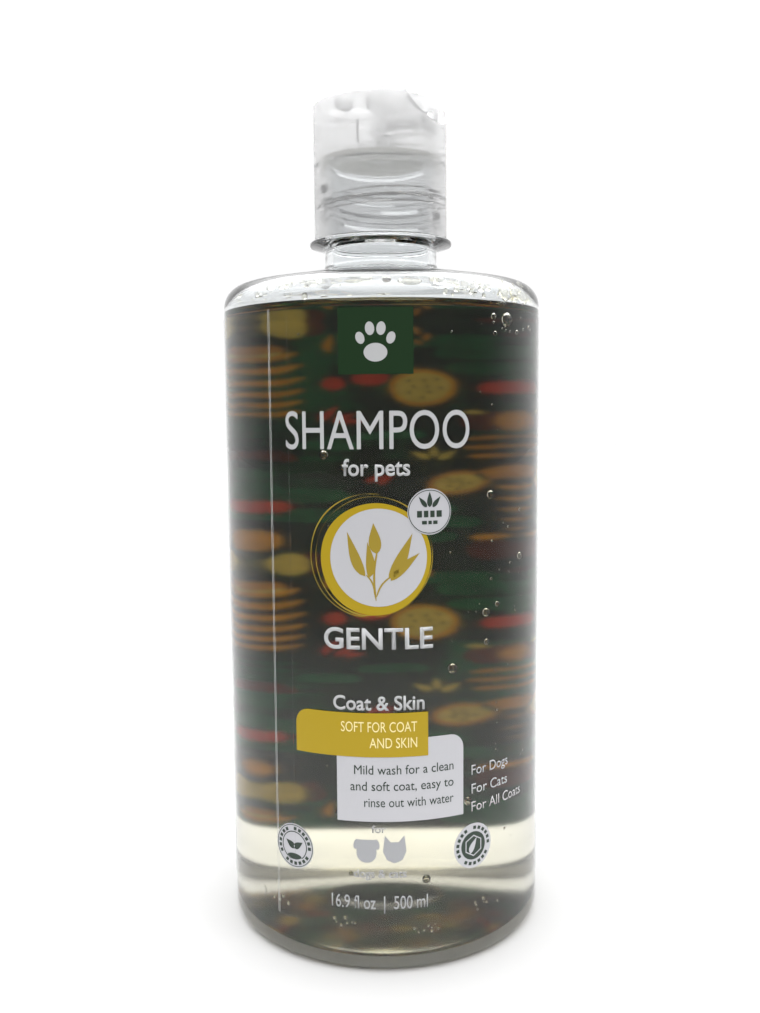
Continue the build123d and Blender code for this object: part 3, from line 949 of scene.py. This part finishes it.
backInk("backBrown", 1, "brown", [
    ellipse(-10.1, 135.4, 3.6, 5.2, 0.2, 30, 0.12, 1), ellipse(14.4, 112.0, 7.0, 4.4, 0.0, 30, 0.1, 2),
    ellipse(14.6, 80.4, 5.6, 5.2, 0.1, 30, 0.1, 3), ellipse(-9.6, 76.6, 3.4, 3.0, 0, 24, 0.15, 5),
    stroke(-18.6, 104.0, -12.0, 103.0, 2.6, 0.5),
])
backInk("backTan", 2, "tan", [
    stroke(13.0, 98.4, 21.5, 100.6, 3.0, 0.3, 0.3), stroke(11.8, 107.6, 17.6, 108.2, 0.9, 0.1),
    stroke(11.4, 105.6, 17.8, 106.0, 1.0, -0.1), stroke(12.0, 103.4, 17.6, 103.6, 1.0, 0.1),
    ellipse(10.6, 97.0, 8.4, 5.6, 0.25, 36, 0.03, 8),
    ellipse(4.9, 133.9, 1.1, 2.0, 0.4), ellipse(6.4, 132.4, 1.1, 1.8, -0.3),
    ellipse(5.2, 131.2, 1.0, 1.5, 0.9),
])
backInk("backOchre", 2, "ochre", [
    stroke(-19.5, 127.6, -11.8, 128.9, 1.5, -0.8), stroke(-19.5, 124.9, -11.3, 126.0, 1.7, -1.0),
    stroke(-19.5, 122.1, -11.0, 122.9, 1.5, -1.0), stroke(-19.3, 119.5, -11.0, 120.0, 1.4, -1.0),
    stroke(-19.0, 116.9, -11.2, 117.3, 1.3, -0.9), stroke(-18.6, 114.5, -11.4, 114.9, 1.2, -0.7),
    ellipse(-16.9, 83.0, 5.6, 5.4, 0, 36, 0.05, 9), ellipse(5.8, 120.3, 9.6, 9.0, 0, 44, 0.03, 10),
    ellipse(14.4, 83.6, 4.2, 1.3, 0.1, 24, 0.1, 12), leaf(-7.6, 128.8, 4.6, 1.5, 84),
])
backInk("backSun", 3, "sun", [
    ellipse(-13.1, 135.0, 5.4, 5.4, 0.5, 40, 0.12, 14), ellipse(5.8, 120.3, 7.9, 7.3, 0, 44, 0.04, 15),
    ellipse(10.7, 97.0, 6.6, 4.0, 0.25, 36, 0.04, 16),
    leaf(6.9, 103.2, 3.2, 1.5, 152, 0.2), leaf(7.6, 103.4, 3.0, 1.3, 96, 0.1),
    leaf(8.0, 102.9, 3.4, 1.5, 40, -0.2),
    stroke(11.4, 114.2, 14.2, 114.0, 0.9, 0.1), stroke(-16.8, 128.0, -13.8, 128.9, 1.1, -0.2),
])
backInk("backRed", 2, "red", [
    ellipse(-7.0, 121.4, 3.3, 3.1, 0, 30, 0.06, 21), ellipse(-1.7, 122.6, 5.4, 3.4, 0, 30, 0.06, 22),
    stroke(13.4, 119.9, 22.0, 120.4, 3.0, 0.1, 0.2),
    leaf(-8.6, 112.3, 4.4, 1.5, 58), leaf(-7.0, 111.9, 4.0, 1.4, 34), leaf(-5.6, 111.8, 3.0, 1.2, 12),
    leaf(-2.4, 97.2, 3.6, 1.2, 30), leaf(-0.4, 96.6, 3.4, 1.2, 52),
])
seeds = []
for sx, sy, reach, count in ((5.8, 120.3, 2.6, 9), (10.7, 97.0, 1.5, 8)):
    for k in range(count):
        a = 2.4 * k + 0.5
        r = reach * math.sqrt((k + 0.5) / count)
        seeds.append(
            ellipse(sx + r * 1.3 * math.cos(a), sy + r * math.sin(a), 0.75, 0.42, rng.uniform(0, 3.1), 14)
        )
backInk("backSeeds", 4, "brown", seeds)
reach = math.radians(backSpan["halfTurn"]) * bodyMm
wrapPrint("backField", [flatShape([box(-reach, backSpan["low"], reach, backSpan["high"])])],
          bodyMm + printLift["field"],
          inks["field"], math.pi, step=2.0)
print("back print done")


# the back as seen from outside: a plain panel, with bars where small print would be
def wordBars(x0, x1, baseline, height, rng):
    bars = []
    x = x0
    while x < x1 - 1.0:
        width = min(rng.uniform(1.6, 5.2), x1 - x)
        bars.append(box(x, baseline, x + width, baseline + height))
        x += width + 0.8
    return bars


def backPanel():
    rng = random.Random(3)
    wrapPrint(
        "outerPanel", [flatShape([box(-28, 24, 28, 128, (3, 3, 3, 3))])], bodyMm + 0.15, inks["green"],
        math.pi
    )
    wrapPrint(
        "outerBox", [flatShape([box(-24, 28, 24, 62, (2, 2, 2, 2))])], bodyMm + 0.18, inks["panel"], math.pi
    )
    bars = []
    for k in range(12):
        bars += wordBars(-23, rng.uniform(10, 23) if k % 4 == 3 else 23, 104 - 3.1 * k, 1.2, rng)
    wrapPrint(
        "outerWords", [flatShape(bars), letterLine("SHAMPOO", 0, 114, 34, 5.6)], bodyMm + 0.18, inks["white"],
        math.pi
    )
    lines = []
    for k in range(8):
        lines += wordBars(-21, rng.uniform(4, 18) if k == 7 else 21, 57.5 - 3.2 * k, 1.1, rng)
    wrapPrint(
        "outerBoxWords", [flatShape(lines), letterLine("500 ml", 15, 30.2, 12, 2.4)], bodyMm + 0.21,
        inks["dark"], math.pi
    )


backPanel()
print("outer back done")


# studio
# the last two values scale the painted shade on the floor paper, near the bottle and further out
studio = {"dim": 0.2, "bright": 1.03, "dimSide": -0.35, "brightSide": 0.75, "overhead": 3.2,
          "paintedPaperNear": 0.54, "paintedPaperFar": 0.41}

window = {"place": (0.55, -0.45, 0.75), "size": 0.16, "power": 1.0, "aimHeight": 0.13}


def makeStudio():
    # white paper whose colour falls off into the dim side of the room where the viewer stands: painted shade
    # that copies the sky's dim-to-bright falloff and darkens away from the bottle
    deselectAll()
    bpy.ops.mesh.primitive_plane_add(size=6.0, location=(0, 0, 0))
    floor = bpy.context.object
    floor.name = "studioFloor"
    material, tree, shader, output = newMaterial("studioPaperPaintedShade", Base_Color=linear("#f4f4f4"), Roughness=0.95)
    place = addNode(tree, "ShaderNodeTexCoord")
    away = addNode(tree, "ShaderNodeVectorMath", {"operation": "NORMALIZE"}, [(place.outputs["Object"], 0)])
    reach = addNode(tree, "ShaderNodeVectorMath", {"operation": "LENGTH"}, [(place.outputs["Object"], 0)])
    split = addNode(tree, "ShaderNodeSeparateXYZ", links=[(away.outputs[0], "Vector")])
    # painted shade: the paper's colour darkens toward the dim front of the room, copying the sky's falloff
    paintedRoomShade = addNode(
        tree, "ShaderNodeMapRange",
        {"interpolation_type": "SMOOTHSTEP", "From Min": studio["dimSide"], "From Max": studio["brightSide"],
         "To Min": studio["dim"] * studio["paintedPaperFar"], "To Max": studio["bright"] * studio["paintedPaperFar"]},
        [(split.outputs["Y"], "Value")],
    )
    # painted shade: the paper's colour goes from its near tone by the bottle to the darker room tone further
    # out
    paintedFalloff = addNode(
        tree, "ShaderNodeMapRange", {"interpolation_type": "SMOOTHSTEP", "From Min": 0.02, "From Max": 0.46},
        [(reach.outputs["Value"], "Value")],
    )
    paintedPaperShade = addNode(
        tree, "ShaderNodeMix", {"data_type": "FLOAT", 2: studio["paintedPaperNear"]}, [
            (paintedFalloff.outputs[0], 0), (paintedRoomShade.outputs[0], 3)
        ]
    )
    grey = addNode(tree, "ShaderNodeCombineColor", links=[(paintedPaperShade.outputs[0], i) for i in range(3)])
    tree.links.new(grey.outputs[0], shader.inputs["Base Color"])
    floor.data.materials.append(material)
    # an even sky: bright behind and overhead, dim in front
    world = bpy.data.worlds.new("studioWorld")
    bpy.context.scene.world = world
    world.use_nodes = True
    tree = world.node_tree
    tree.nodes.clear()
    place = addNode(tree, "ShaderNodeTexCoord")
    split = addNode(tree, "ShaderNodeSeparateXYZ", links=[(place.outputs["Generated"], "Vector")])
    behind = addNode(
        tree, "ShaderNodeMapRange",
        {"interpolation_type": "SMOOTHSTEP", "From Min": studio["dimSide"], "From Max": studio["brightSide"],
         "To Min": studio["dim"], "To Max": studio["bright"]},
        [(split.outputs["Y"], "Value")],
    )
    overhead = addNode(
        tree, "ShaderNodeMapRange", {"interpolation_type": "SMOOTHSTEP", "From Min": 0.37, "From Max": 0.65},
        [(split.outputs["Z"], "Value")],
    )
    sky = addNode(
        tree, "ShaderNodeMix", {"data_type": "FLOAT", 3: studio["overhead"]},
        [(overhead.outputs[0], 0), (behind.outputs[0], 2)]
    )
    light = addNode(tree, "ShaderNodeBackground", {"Color": (1, 1, 1, 1)}, [(sky.outputs[0], "Strength")])
    addNode(tree, "ShaderNodeOutputWorld", links=[(light.outputs[0], "Surface")])
    deselectAll()
    bpy.ops.object.light_add(type="AREA", location=window["place"])
    lamp = bpy.context.object
    lamp.name = "smallWindow"
    lamp.data.shape = "SQUARE"
    lamp.data.size = window["size"]
    lamp.data.energy = window["power"]
    aim = Vector((0, 0, window["aimHeight"])) - Vector(window["place"])
    lamp.rotation_euler = aim.to_track_quat("-Z", "Y").to_euler()

cameraPlace = {"lens": 35.7, "back": 0.2325, "height": 0.1156, "down": 5.45, "turn": 0.17, "roll": -0.5}


def makeCamera():
    camera = bpy.data.cameras.new("camera")
    camera.lens = cameraPlace["lens"]
    camera.sensor_width = 36.0
    camera.clip_start = 0.01
    obj = bpy.data.objects.new("camera", camera)
    bpy.context.collection.objects.link(obj)
    turn = Matrix.Rotation(math.radians(cameraPlace["turn"]), 4, "Z")
    turn = turn @ Matrix.Rotation(math.radians(90 - cameraPlace["down"]), 4, "X")
    turn = turn @ Matrix.Rotation(math.radians(cameraPlace["roll"]), 4, "Z")
    obj.matrix_world = Matrix.Translation((0, -cameraPlace["back"], cameraPlace["height"])) @ turn
    bpy.context.scene.camera = obj


makeStudio()
makeCamera()
scene = bpy.context.scene
scene.view_settings.view_transform = "Standard"
scene.cycles.max_bounces = 24
scene.cycles.transmission_bounces = 24
scene.cycles.transparent_max_bounces = 24
print("studio ready")
